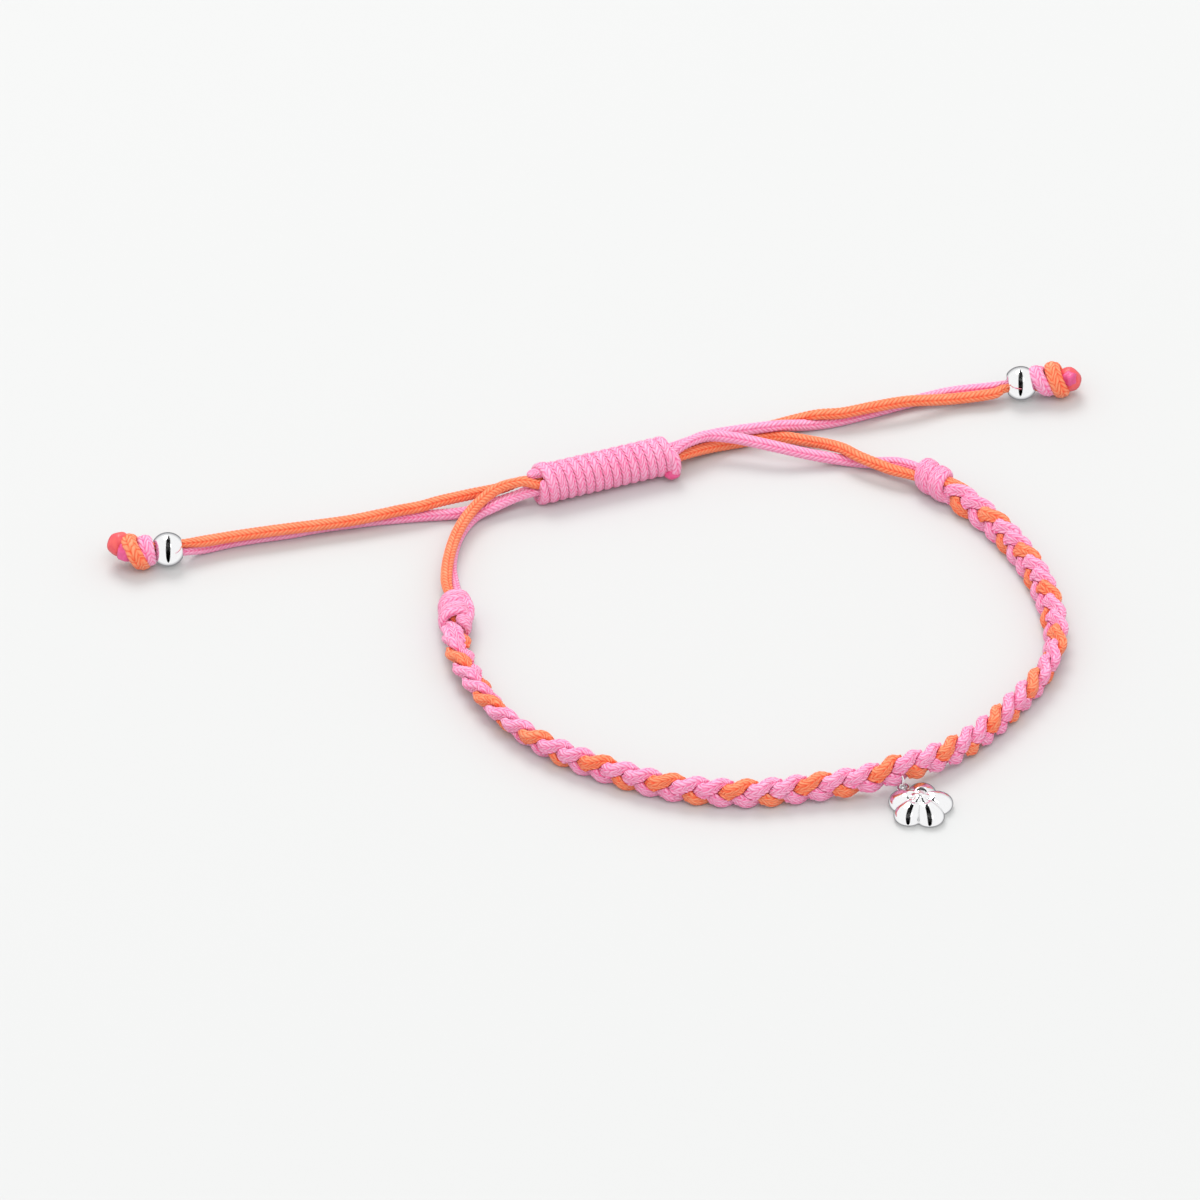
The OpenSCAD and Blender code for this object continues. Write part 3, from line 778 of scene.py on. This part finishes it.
# the orange strand comes out of the right knot along the outer edge
OUTER_ROUTE = [[16.5, 20.0, 1.8], [17.4, 19.1, 2.05], [18.4, 18.3, 2.05], [19.2, 17.7, 1.8],
               [19.7, 17.3, 1.3]]
OUTER_HALVES = 0.6, 0.42


def short_cord(name, route, half_w, half_t, facing=UP, columns=COLUMNS, round_start=0.3, round_end=0.3):
    """A short length of woven cord with its flat way turned to face a direction."""
    path = even(curve(route), RING_STEP)
    t = travel(path)
    through = square_to(t, facing)
    return woven(name, path, half_w, half_t, np.cross(through, t), through, columns=columns,
                 round_start=round_start, round_end=round_end, slant=TIGHT_SLANT)


def strand_mesh(name, phase):
    path = strand_paths[name]
    s, t = path[:, 3], travel(path)
    across = square_to(t, band_ways(s)[0])
    half_w = STRAND_W * (END_W + (1 - END_W) * fullness(s))
    half_t = STRAND_T * (END_T + (1 - END_T) * fullness(s))
    return woven(name, path, half_w, half_t, across, np.cross(t, across), others_than(name),
                 gap=STRAND_GAP, columns=STRAND_COLUMNS, relief=TIGHT_RELIEF, slant=TIGHT_SLANT,
                 phase=phase, power=STRAND_POWER, fill=STRAND_FILL, crevice_shade=TIGHT_CREVICE_SHADE)


for k, name in enumerate(STRANDS):
    mesh = strand_mesh(name, STRAND_PHASE * k)
    if "orange" in name:
        outer = short_cord("outer", OUTER_ROUTE, *OUTER_HALVES, columns=STRAND_COLUMNS)
        mesh = joined(name, [mesh, outer])
    add(name, mesh, ORANGE_TIGHT if "orange" in name else PINK_TIGHT)


# Sliding knot: a coil whose first turn is wider, with its start tucked in and its ends led out

COIL_R, COIL_TURNS, TURN_L = 1.34, 14, 0.8
# the coil's halves, its relief and how dark its painted crevice shade is
COIL_W, COIL_T, COIL_RELIEF, COIL_CREVICE_SHADE = 0.45, 0.44, 0.055, 0.6
COIL_SAMPLES, COIL_PHASE, COIL_GAP, COIL_ROUND = 3000, 0.15, -0.03, 0.5
TUCKED_ANGLE, TUCK_IN, RUN_ON = 150, 0.55, 10
FIRST_AT, FIRST_REACH, FIRST_OUT, FIRST_BACK, FIRST_THICKER = 60, 200.0, 0.14, 0.12, 0.04
LAST_FROM, LAST_REACH, LAST_IN = 60, 70, 0.1
COIL_START, COIL_MORE = 0.1, 0.22


def coil_path():
    """Path of the coil, with the angle turned and how far the point belongs to the first turn."""
    whole = 360 * COIL_TURNS
    angle = np.linspace(-TUCKED_ANGLE, whole + RUN_ON, COIL_SAMPLES)
    first = np.exp(-((angle - FIRST_AT) / FIRST_REACH) ** 2)
    tuck = np.clip(-angle / TUCKED_ANGLE, 0, 1)
    last = np.clip((angle - whole + LAST_FROM) / LAST_REACH, 0, 1)
    radius = COIL_R + FIRST_OUT * first - TUCK_IN * tuck - LAST_IN * last
    share = np.clip(angle / whole, 0, 1)
    along = TURN_L / 2 + COIL_START + share * (SLIDE_L - TURN_L + COIL_MORE) - FIRST_BACK * first
    p = SLIDE_LEFT + along[:, None] * SLIDE_AXIS + radius[:, None] * coil_out(angle - 90)
    return even(np.column_stack([p, angle, first]), RING_STEP)


def coil_mesh():
    coil = coil_path()
    t, first = travel(coil), coil[:, 4]
    across = square_to(t, SLIDE_AXIS)
    return woven("coil", coil, COIL_W + FIRST_OUT * first, COIL_T + FIRST_THICKER * first, across,
                 np.cross(t, across), relief=COIL_RELIEF, slant=TIGHT_SLANT, phase=COIL_PHASE,
                 power=COIL_POWER, round_start=COIL_ROUND, round_end=COIL_ROUND, floor=False,
                 limit=beside_limit(coil, COIL_GAP), crevice_shade=COIL_CREVICE_SHADE)


# routes by the distance along the knot, the radius from its axis and the angle round it
LEAD_IN = (-0.75, 0.95, 66), (-0.4, 1.05, 68), (0.1, 1.1, 70), (0.8, 1.1, 80)
LEAD_OUT = ((SLIDE_L - 0.5, 1.0, 118), (SLIDE_L - 0.05, 1.3, 146), (SLIDE_L + 0.12, 1.5, 172),
            (SLIDE_L + 0.1, 1.62, 196), (SLIDE_L, 1.66, 212))
LEAD_IN_HALVES, LEAD_OUT_HALVES = (0.5, 0.42), (0.6, 0.52)

add("sliding_knot", joined("sliding_knot", [
    coil_mesh(),
    short_cord("lead_in", [slide_point(*p) for p in LEAD_IN], *LEAD_IN_HALVES, round_start=0.5),
    short_cord("lead_out", [slide_point(*p) for p in LEAD_OUT], *LEAD_OUT_HALVES, SLIDE_AXIS,
               round_end=0.4),
]), PINK_TIGHT)


# Lumps of melted cord

LUMP_RINGS, LUMP_SIDES = 28, 44
LUMP_POLE = 0.02
LUMP_FLOOR_GAP = 0.02
LUMP_WAVES, LAST_WAVE_SHARE = (6.2, 4.6, 5.7), 0.6
SLIDE_MELT_AT, SLIDE_MELT_SIZE = slide_point(SLIDE_L - 0.15, 1.86, 212), (0.7, 0.5, 0.48)
SLIDE_MELT_ROUGH, TIP_ROUGH, MELT_ROUGH, MELT_SEED = 0.06, 0.04, 0.09, 2.0


def lump(name, centre, size, turn, rough, seed=1.0):
    """A smooth uneven lump: an ellipsoid with low waves. turn gives its three axes as rows."""
    lat = np.linspace(LUMP_POLE, math.pi - LUMP_POLE, LUMP_RINGS)
    lon = TAU * np.arange(LUMP_SIDES) / LUMP_SIDES
    lat, lon = np.meshgrid(lat, lon, indexing="ij")
    x, y, z = np.cos(lat), np.sin(lat) * np.cos(lon), np.sin(lat) * np.sin(lon)
    kx, ky, kz = LUMP_WAVES
    wave = 1 + rough * np.sin(kx * x + seed) * np.cos(ky * y - seed)
    wave = wave + LAST_WAVE_SHARE * rough * np.sin(kz * z + 2 * seed)
    local = np.stack([x, y, z], -1) * np.asarray(size) * wave[..., None]
    rows = centre + local @ turn
    rows[..., 2] = np.maximum(rows[..., 2], LUMP_FLOOR_GAP)
    return write_mesh(name, rows)


add("sliding_knot_melt", lump("sliding_knot_melt", SLIDE_MELT_AT, SLIDE_MELT_SIZE,
                              np.array([SLIDE_AXIS, SLIDE_BACK, UP]), SLIDE_MELT_ROUGH), MAGENTA, False)


# Knots at the ends of the plait

KNOT_SAMPLES = 900
KNOT_R, KNOT_T, KNOT_TUCK, KNOT_TUCK_ANGLE = 1.03, 0.47, 0.35, 70
KNOT_END_W, KNOT_END_ANGLE, KNOT_ROUND, KNOT_PHASE = 0.6, 60, 0.45, 0.3
RIGHT_TURNS, RIGHT_PITCH, RIGHT_W, RIGHT_START = 2.22, 1.5, 0.84, -110
LEFT_TURNS, LEFT_PITCH, LEFT_W, LEFT_START = 2.45, 1.55, 0.92, 100
LEFT_WRAPS_AT = LEFT_KNOT + np.array([0, -0.35, 0])
LEFT_AXIS = heading(LEFT_KNOT_HEADING)
# the lobe's route is given along the left knot, out from it and up
LOBE = ((1.2, 0.0, 0.75), (0.85, 0.5, 0.75), (0.2, 0.95, 0.55), (-0.6, 1.05, 0.3), (-1.5, 0.85, 0.2),
        (-2.4, 0.4, -0.2))
UNDER_ROUTE = [[-26.4, -0.9, 1.5], [-26.2, -1.7, 1.95], [-26.0, -2.6, 2.0], [-25.7, -3.5, 1.6]]
LOBE_HALVES, UNDER_HALVES = (0.70, 0.55), (0.9, 0.42)


def winding(centre, axis, radius, turns, start, advance, tuck, tuck_angle, samples, lean=0.0):
    """Path wound round an axis with its ends tucked in, and the angle turned in the fourth column."""
    a = np.linspace(0, 360 * turns, samples)
    r = radius - tuck * np.clip(1 - np.minimum(a, 360 * turns - a) / tuck_angle, 0, 1) ** 2
    phi = np.radians(a + start)
    out = np.cos(phi)[:, None] * np.cross(UP, axis) + np.sin(phi)[:, None] * UP
    along = advance * (a / (360 * turns) - 0.5) + lean * np.sin(phi)
    line = centre + along[:, None] * axis + r[:, None] * out
    return even(np.column_stack([line, a]), RING_STEP)


def knot_wraps(name, centre, axis, turns, pitch, half_w, start):
    path = winding(centre, axis, KNOT_R, turns, start, pitch * turns, KNOT_TUCK, KNOT_TUCK_ANGLE,
                   KNOT_SAMPLES)
    t, angles = travel(path), path[:, 3]
    wide = square_to(t, axis)
    ends = np.clip(np.minimum(angles, angles[-1] - angles) / KNOT_END_ANGLE, 0, 1)
    return woven(name, path, half_w * (KNOT_END_W + (1 - KNOT_END_W) * ends), KNOT_T, wide,
                 np.cross(t, wide), columns=KNOT_COLUMNS, relief=TIGHT_RELIEF, slant=TIGHT_SLANT,
                 phase=KNOT_PHASE, round_start=KNOT_ROUND, round_end=KNOT_ROUND,
                 limit=beside_limit(path, 0.0), crevice_shade=TIGHT_CREVICE_SHADE)


def left_point(along, out, up):
    return LEFT_KNOT + along * LEFT_AXIS - out * np.cross(UP, LEFT_AXIS) + np.array([0, 0, up])


add("right_braid_knot", knot_wraps("right_wraps", RIGHT_KNOT, heading(RIGHT_KNOT_HEADING), RIGHT_TURNS,
                                   RIGHT_PITCH, RIGHT_W, RIGHT_START), PINK_TIGHT)
add("left_braid_knot", joined("left_braid_knot", [
    knot_wraps("left_wraps", LEFT_WRAPS_AT, LEFT_AXIS, LEFT_TURNS, LEFT_PITCH, LEFT_W, LEFT_START),
    short_cord("lobe", [left_point(*p) for p in LOBE], *LOBE_HALVES),
    short_cord("under", UNDER_ROUTE, *UNDER_HALVES, columns=STRAND_COLUMNS),
]), PINK_TIGHT)


# Knots behind the beads

WRAP_TURNS, WRAP_ADVANCE, WRAP_TUCK, WRAP_TUCK_ANGLE, WRAP_ROUND = 1.12, 0.15, 0.3, 60, 0.4
PINK_WRAP_AT, PINK_WRAP_R, PINK_WRAP_W, PINK_WRAP_T, PINK_WRAP_START = 1.92, 0.92, 0.7, 0.5, -100
ORANGE_WRAP_R, ORANGE_WRAP_W, ORANGE_WRAP_T, ORANGE_WRAP_START = 1.12, 0.72, 0.56, -160
END_KNOT_Z, WRAP_SAMPLES = 1.6, 500


def wrap(name, centre, axis, radius, half_w, half_t, start, lean):
    path = winding(centre, axis, radius, WRAP_TURNS, start, WRAP_ADVANCE, WRAP_TUCK, WRAP_TUCK_ANGLE,
                   WRAP_SAMPLES, lean)
    t = travel(path)
    wide = square_to(t, axis)
    return woven(name, path, half_w, half_t, wide, np.cross(t, wide), slant=TIGHT_SLANT,
                 round_start=WRAP_ROUND, round_end=WRAP_ROUND)


def end_knot(name, bead, angle, pink_lean, orange_at, orange_lean, tip, tip_size, melt, melt_size):
    """A pink wrap next to the bead, a leaning orange wrap and the melted ends.
    tip and melt are places along the knot, to its left and up."""
    axis = heading(angle)
    base = np.array([bead[0], bead[1], END_KNOT_Z])
    turn = np.array([axis, np.cross(UP, axis), UP])
    add(name, wrap("pink_wrap", base + PINK_WRAP_AT * axis, axis, PINK_WRAP_R, PINK_WRAP_W, PINK_WRAP_T,
                   PINK_WRAP_START, pink_lean), PINK_TIGHT)
    add(name + "_orange", wrap("orange_wrap", base + orange_at * axis, axis, ORANGE_WRAP_R, ORANGE_WRAP_W,
                               ORANGE_WRAP_T, ORANGE_WRAP_START, orange_lean), ORANGE_TIGHT, False)
    add(name + "_tip", lump("tip", base + tip @ turn, tip_size, turn, TIP_ROUGH), CORAL, False)
    add(name + "_melt", lump("melt", base + melt @ turn, melt_size, turn, MELT_ROUGH, MELT_SEED), MAGENTA,
        False)


end_knot("left_end_knot", LEFT_BEAD, LEFT_HEADING, pink_lean=0.1, orange_at=2.85, orange_lean=0.6,
         tip=(4.15, -0.7, 0.45), tip_size=(1.1, 1.1, 1.1),
         melt=(3.75, 0.3, 0.35), melt_size=(0.85, 0.9, 0.85))
end_knot("right_end_knot", RIGHT_BEAD, RIGHT_HEADING, pink_lean=-0.6, orange_at=3.2, orange_lean=-0.45,
         tip=(4.25, 0.0, -0.05), tip_size=(1.08, 1.12, 1.1),
         melt=(4.2, -0.6, 0.5), melt_size=(0.72, 0.6, 0.66))


# Beads

BORE_R, LIP = 0.85, 0.08
LIP_OUT, LIP_IN, BORE_END = 0.25 * LIP, 0.55 * LIP, 0.12
BEAD_AROUND, BEAD_ARC, BORE_RINGS = 96, 48, 8


def bead_mesh(name, centre, angle):
    """Drilled bead: the sphere, a rounded rim at each mouth and the bore."""
    axis = heading(angle)
    mouth = math.asin((BORE_R + LIP) / BEAD_R)
    angles = np.linspace(mouth, math.pi - mouth, BEAD_ARC)
    arc = [(BEAD_R * math.cos(x), BEAD_R * math.sin(x)) for x in angles]
    rim_x, rim_r = -arc[-1][0] - LIP_OUT, arc[-1][1] - LIP_IN
    bore_x = math.sqrt(BEAD_R ** 2 - BORE_R ** 2) - LIP
    bore = [(x, BORE_R) for x in np.linspace(-bore_x + BORE_END, bore_x - BORE_END, BORE_RINGS)]
    far_rim, near_rim = [(-rim_x, rim_r), (-bore_x, BORE_R)], [(bore_x, BORE_R), (rim_x, rim_r)]
    profile = np.array(arc + far_rim + bore + near_rim)
    lon = TAU * np.arange(BEAD_AROUND) / BEAD_AROUND
    out = np.cos(lon)[:, None] * np.cross(UP, axis) + np.sin(lon)[:, None] * UP
    return closed_surface(name, centre + profile[None, :, :1] * axis + profile[None, :, 1:] * out[:, None, :])


add("left_bead", bead_mesh("left_bead", LEFT_BEAD, LEFT_HEADING), SILVER)
add("right_bead", bead_mesh("right_bead", RIGHT_BEAD, RIGHT_HEADING), SILVER)


# Jump ring and charm

WIRE, RING_R, EYE_R = 0.26, 0.84, 0.45
RING_AROUND, WIRE_AROUND = 96, 28
ANY_WAY = [0.3, 0.9, 0.31]
EYE_DROP = math.radians(30.0)
RING_SHIFT, EYE_SHIFT = 0.02, 0.03
CHARM_W, CHARM_REACH, CHARM_HEADING = 5.8, 2.9, -59.0
STEM_SIDES = 28
# places along the stem from the eye's wire, and its radius there
STEM_PROFILE = (-0.04, 0.05), (-0.02, 0.14), (0.08, 0.2), (0.3, 0.22), (0.6, 0.24), (1.0, 0.22), (1.1, 0.1)
PETALS, PETAL_SIDES = 5, 240
PETAL_R = CHARM_W * 0.22
PETAL_AT = CHARM_W / 2 - PETAL_R
UNDER_ANGLES, TOP_ANGLE = (-89, -75, -60, -45, -30, -15), 88
EDGE_Z, FLOWER_H, UNDER_SHARE, TOP_RINGS, TOP_POWER = 0.45, 1.7, 0.82, 44, 0.92
CREASE, CREASE_POWER, CREASE_FROM = 0.345, 2.4, 0.12
BOSS_AT, BOSS_REACH, BOSS_GROOVE = 0.30, 0.10, 0.16

RING_WAY = spine_way(np.array([RING_S]))[0]
RING_OUT = unit(np.cross(UP, RING_WAY))
RING_AT = spine_at(np.array([RING_S]))[0] + RING_SHIFT * RING_OUT
RING_AT[2] = RING_R + WIRE / 2
EYE_AT = RING_AT + (RING_R * math.cos(EYE_DROP) + EYE_SHIFT) * RING_OUT - RING_R * math.sin(EYE_DROP) * UP
CHARM_AT = (EYE_AT + CHARM_REACH * heading(CHARM_HEADING)) * np.array([1, 1, 0])


def ring_mesh(name, centre, axis, radius):
    a = unit(np.cross(axis, ANY_WAY))
    big = TAU * np.arange(RING_AROUND) / RING_AROUND
    small = TAU * np.arange(WIRE_AROUND) / WIRE_AROUND
    out = np.cos(big)[:, None] * a + np.sin(big)[:, None] * np.cross(axis, a)
    wire = np.cos(small)[None, :, None] * out[:, None, :] + np.sin(small)[None, :, None] * axis
    return closed_surface(name, centre + radius * out[:, None, :] + WIRE / 2 * wire)


def flower_mesh(name):
    """Five puffed petals, with soft creases between them and a low groove round the middle."""
    around = TAU * np.arange(PETAL_SIDES) / PETAL_SIDES
    pitch = TAU / PETALS
    p = around - pitch * np.round(around / pitch)
    outline = PETAL_AT * np.cos(p) + np.sqrt(PETAL_R ** 2 - (PETAL_AT * np.sin(p)) ** 2)
    valley = (np.abs(p) * PETALS / math.pi) ** CREASE_POWER
    rings = []
    for fall in np.radians(UNDER_ANGLES):
        share = UNDER_SHARE + (1 - UNDER_SHARE) * math.cos(fall)
        rings.append((share, np.full(PETAL_SIDES, EDGE_Z + EDGE_Z * math.sin(fall))))
    for rise in np.radians(np.linspace(0, TOP_ANGLE, TOP_RINGS)):
        share = math.cos(rise)
        height = (FLOWER_H - EDGE_Z) * math.sin(rise) ** TOP_POWER
        crease = CREASE * height * valley * max(0.0, share - CREASE_FROM)
        groove = BOSS_GROOVE * math.exp(-((share - BOSS_AT) / BOSS_REACH) ** 2)
        rings.append((share, EDGE_Z + height - crease - groove))
    turn = math.radians(CHARM_HEADING + 180 + 180 / PETALS)
    rows = []
    for share, z in rings:
        r = share * outline
        rows.append(np.stack([r * np.cos(around + turn), r * np.sin(around + turn), z], -1))
    return write_mesh(name, np.array(rows) + CHARM_AT)


def stem_mesh(name):
    """The short neck between the eye and the flower, as rings at places along it."""
    way = heading(CHARM_HEADING)
    q = TAU * np.arange(STEM_SIDES) / STEM_SIDES
    out = np.cos(q)[:, None] * np.cross(UP, way) + np.sin(q)[:, None] * UP
    return write_mesh(name, np.array([EYE_AT + (EYE_R + x) * way + r * out for x, r in STEM_PROFILE]))


add("jump_ring", ring_mesh("jump_ring", RING_AT, np.cross(RING_OUT, UP), RING_R), SILVER)
add("charm", joined("charm", [
    flower_mesh("flower"), ring_mesh("eye", EYE_AT, UP, EYE_R), stem_mesh("stem"),
]), SILVER)


# Floor and light, in metres

FLOOR_HALF = 6.0
FLOOR_LOOK = {"Base Color": (0.590, 0.594, 0.590, 1.0), "Roughness": 0.9, "Specular IOR Level": 0.1}
GAP_LOOK = {"Base Color": (0.0, 0.0, 0.0, 1.0), "Roughness": 1.0, "Specular IOR Level": 0.0}
GAP_DISTANCE, GAP_HALF, GAP_REACH, GAP_ROWS = 1.0, math.radians(16), 104, 105
GAP_POWER, GAP_LEAST = 0.65, 0.02
SKY_STRENGTH = 1.03
SKY_STOPS = ((0.35, (1.0, 1.0, 1.0)), (0.60, (0.72, 0.72, 0.73)), (0.80, (0.36, 0.36, 0.37)),
             (1.0, (0.12, 0.12, 0.13)))


def studio_surface(name, verts, faces, material_name, look):
    """A part of the studio, which isn't part of the object."""
    material, tree, shader = nodes_of(material_name)
    set_up(tree, shader, look)
    mesh = bpy.data.meshes.new(name)
    mesh.from_pydata(verts, [], faces)
    mesh.materials.append(material)
    obj = placed(name, mesh)
    return obj


def make_floor():
    h = FLOOR_HALF
    corners = [(-h, -h, 0), (h, -h, 0), (h, h, 0), (-h, h, 0)]
    floor = studio_surface("floor", corners, [(0, 1, 2, 3)], "pale_floor", FLOOR_LOOK)
    floor.visible_glossy = False


def make_dark_gap():
    """A dark upright gap between the lights, seen only in the polished metal."""
    over = np.array([0, math.sin(ELEVATION), math.cos(ELEVATION)])
    rows = []
    for a in np.radians(np.linspace(-GAP_REACH, GAP_REACH, GAP_ROWS)):
        half = GAP_HALF * max(GAP_LEAST, math.cos(a * 90 / GAP_REACH)) ** GAP_POWER
        way = math.cos(a) * TO_CAMERA + math.sin(a) * over
        rows += [way * math.cos(half) + x * math.sin(half) * np.array([1.0, 0, 0]) for x in (-1, 1)]
    verts = np.array(rows) * GAP_DISTANCE + LOOK_AT * MM
    faces = [(2 * i, 2 * i + 1, 2 * i + 3, 2 * i + 2) for i in range(GAP_ROWS - 1)]
    gap = studio_surface("dark_gap", verts.tolist(), faces, "dark_gap", GAP_LOOK)
    gap.visible_camera = False
    gap.visible_diffuse = False
    gap.visible_shadow = False
    gap.visible_transmission = False
    gap.visible_volume_scatter = False


def area_light(name, place, size, power):
    """A round light that looks at the bracelet."""
    data = bpy.data.lights.new(name, "AREA")
    data.shape = "DISK"
    data.size = size
    data.energy = power
    light = bpy.data.objects.new(name, data)
    light.location = place
    x, y, z = LOOK_AT * MM - np.array(place)
    pitch = math.atan2(-z, math.hypot(x, y))
    light.rotation_euler = (math.pi / 2 - pitch, 0, math.atan2(y, x) - math.pi / 2)
    bpy.context.scene.collection.objects.link(light)


def make_sky():
    """White light from all round, but darker from where the camera looks, for the metal's edges."""
    world = bpy.data.worlds.new("studio")
    world.use_nodes = True
    bpy.context.scene.world = world
    tree = world.node_tree
    away = tree.nodes.new("ShaderNodeVectorMath")
    away.operation = "DOT_PRODUCT"
    away.inputs[1].default_value = tuple(-TO_CAMERA)
    tree.links.new(tree.nodes.new("ShaderNodeTexCoord").outputs["Generated"], away.inputs[0])
    set_up(tree, tree.nodes["Background"], {"Strength": SKY_STRENGTH},
           {"Color": ramp(tree, SKY_STOPS, away.outputs["Value"])})


make_floor()
make_dark_gap()
area_light("key", place=(-0.24, 0.84, 1.24), size=0.84, power=10.8)
area_light("fill", place=(0.1, -0.8, 1.6), size=1.2, power=7.0)
make_sky()
bpy.context.scene.view_settings.view_transform = "Standard"
bpy.context.scene.view_settings.look = "None"
